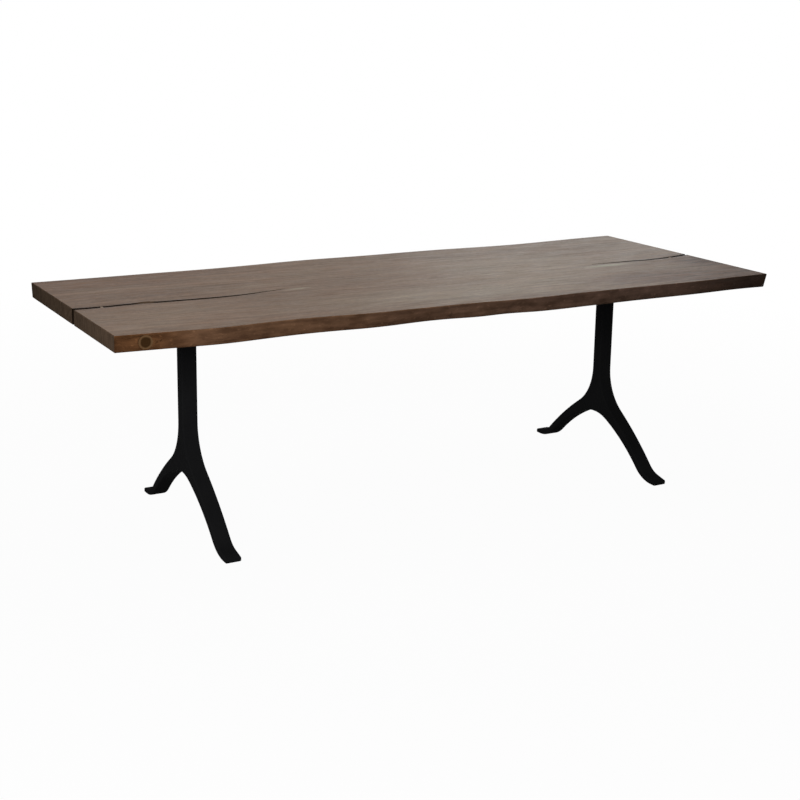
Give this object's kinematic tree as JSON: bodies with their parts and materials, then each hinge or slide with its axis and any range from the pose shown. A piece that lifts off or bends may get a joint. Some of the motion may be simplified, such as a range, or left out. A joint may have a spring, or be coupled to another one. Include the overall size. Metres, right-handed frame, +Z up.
{
  "type": "dining table",
  "caption": "Long dining table: one thick live-edge wood slab with a tied split in each end, standing on two cast-iron wishbone legs.",
  "frame": {"origin": "on the floor under the middle of the slab's outline", "axes": "+X along the slab to the picture's right, +Y to the back edge, +Z up"},
  "size_m": [2.4, 0.9581, 0.762],
  "materials": {
    "suar_wood": "matte oiled, fine lengthwise grain, warmer brown on the natural edges",
    "plug_wood": "matte, dark heart in a pale ring",
    "cast_iron": "satin black, faint casting texture",
    "black_steel": "satin black powder coat",
    "zinc_steel": "dull zinc plate",
    "insert_brass": "plain",
    "felt": "pressed felt"
  },
  "bodies": {
    "root": {"slab_top": "suar_wood", "edge_plug_front": "plug_wood", "edge_plug_back": "plug_wood", "split_packer_left": "plug_wood", "tie_rod_left": "zinc_steel", "tie_washer_left": "zinc_steel", "tie_nut_left": "zinc_steel", "leg_left": "cast_iron", "head_plate_left": "black_steel", "flange_bolts_left": "black_steel", "flange_washers_left": "black_steel", "plate_screws_left": "zinc_steel", "plate_washers_left": "zinc_steel", "threaded_inserts_left": "insert_brass", "foot_pad_left_front": "felt", "foot_pad_left_back": "felt", "split_packer_right": "plug_wood", "tie_rod_right": "zinc_steel", "tie_washer_right": "zinc_steel", "tie_nut_right": "zinc_steel", "leg_right": "cast_iron", "head_plate_right": "black_steel", "flange_bolts_right": "black_steel", "flange_washers_right": "black_steel", "plate_screws_right": "zinc_steel", "plate_washers_right": "zinc_steel", "threaded_inserts_right": "insert_brass", "foot_pad_right_front": "felt", "foot_pad_right_back": "felt"}
  },
  "joints": []
}
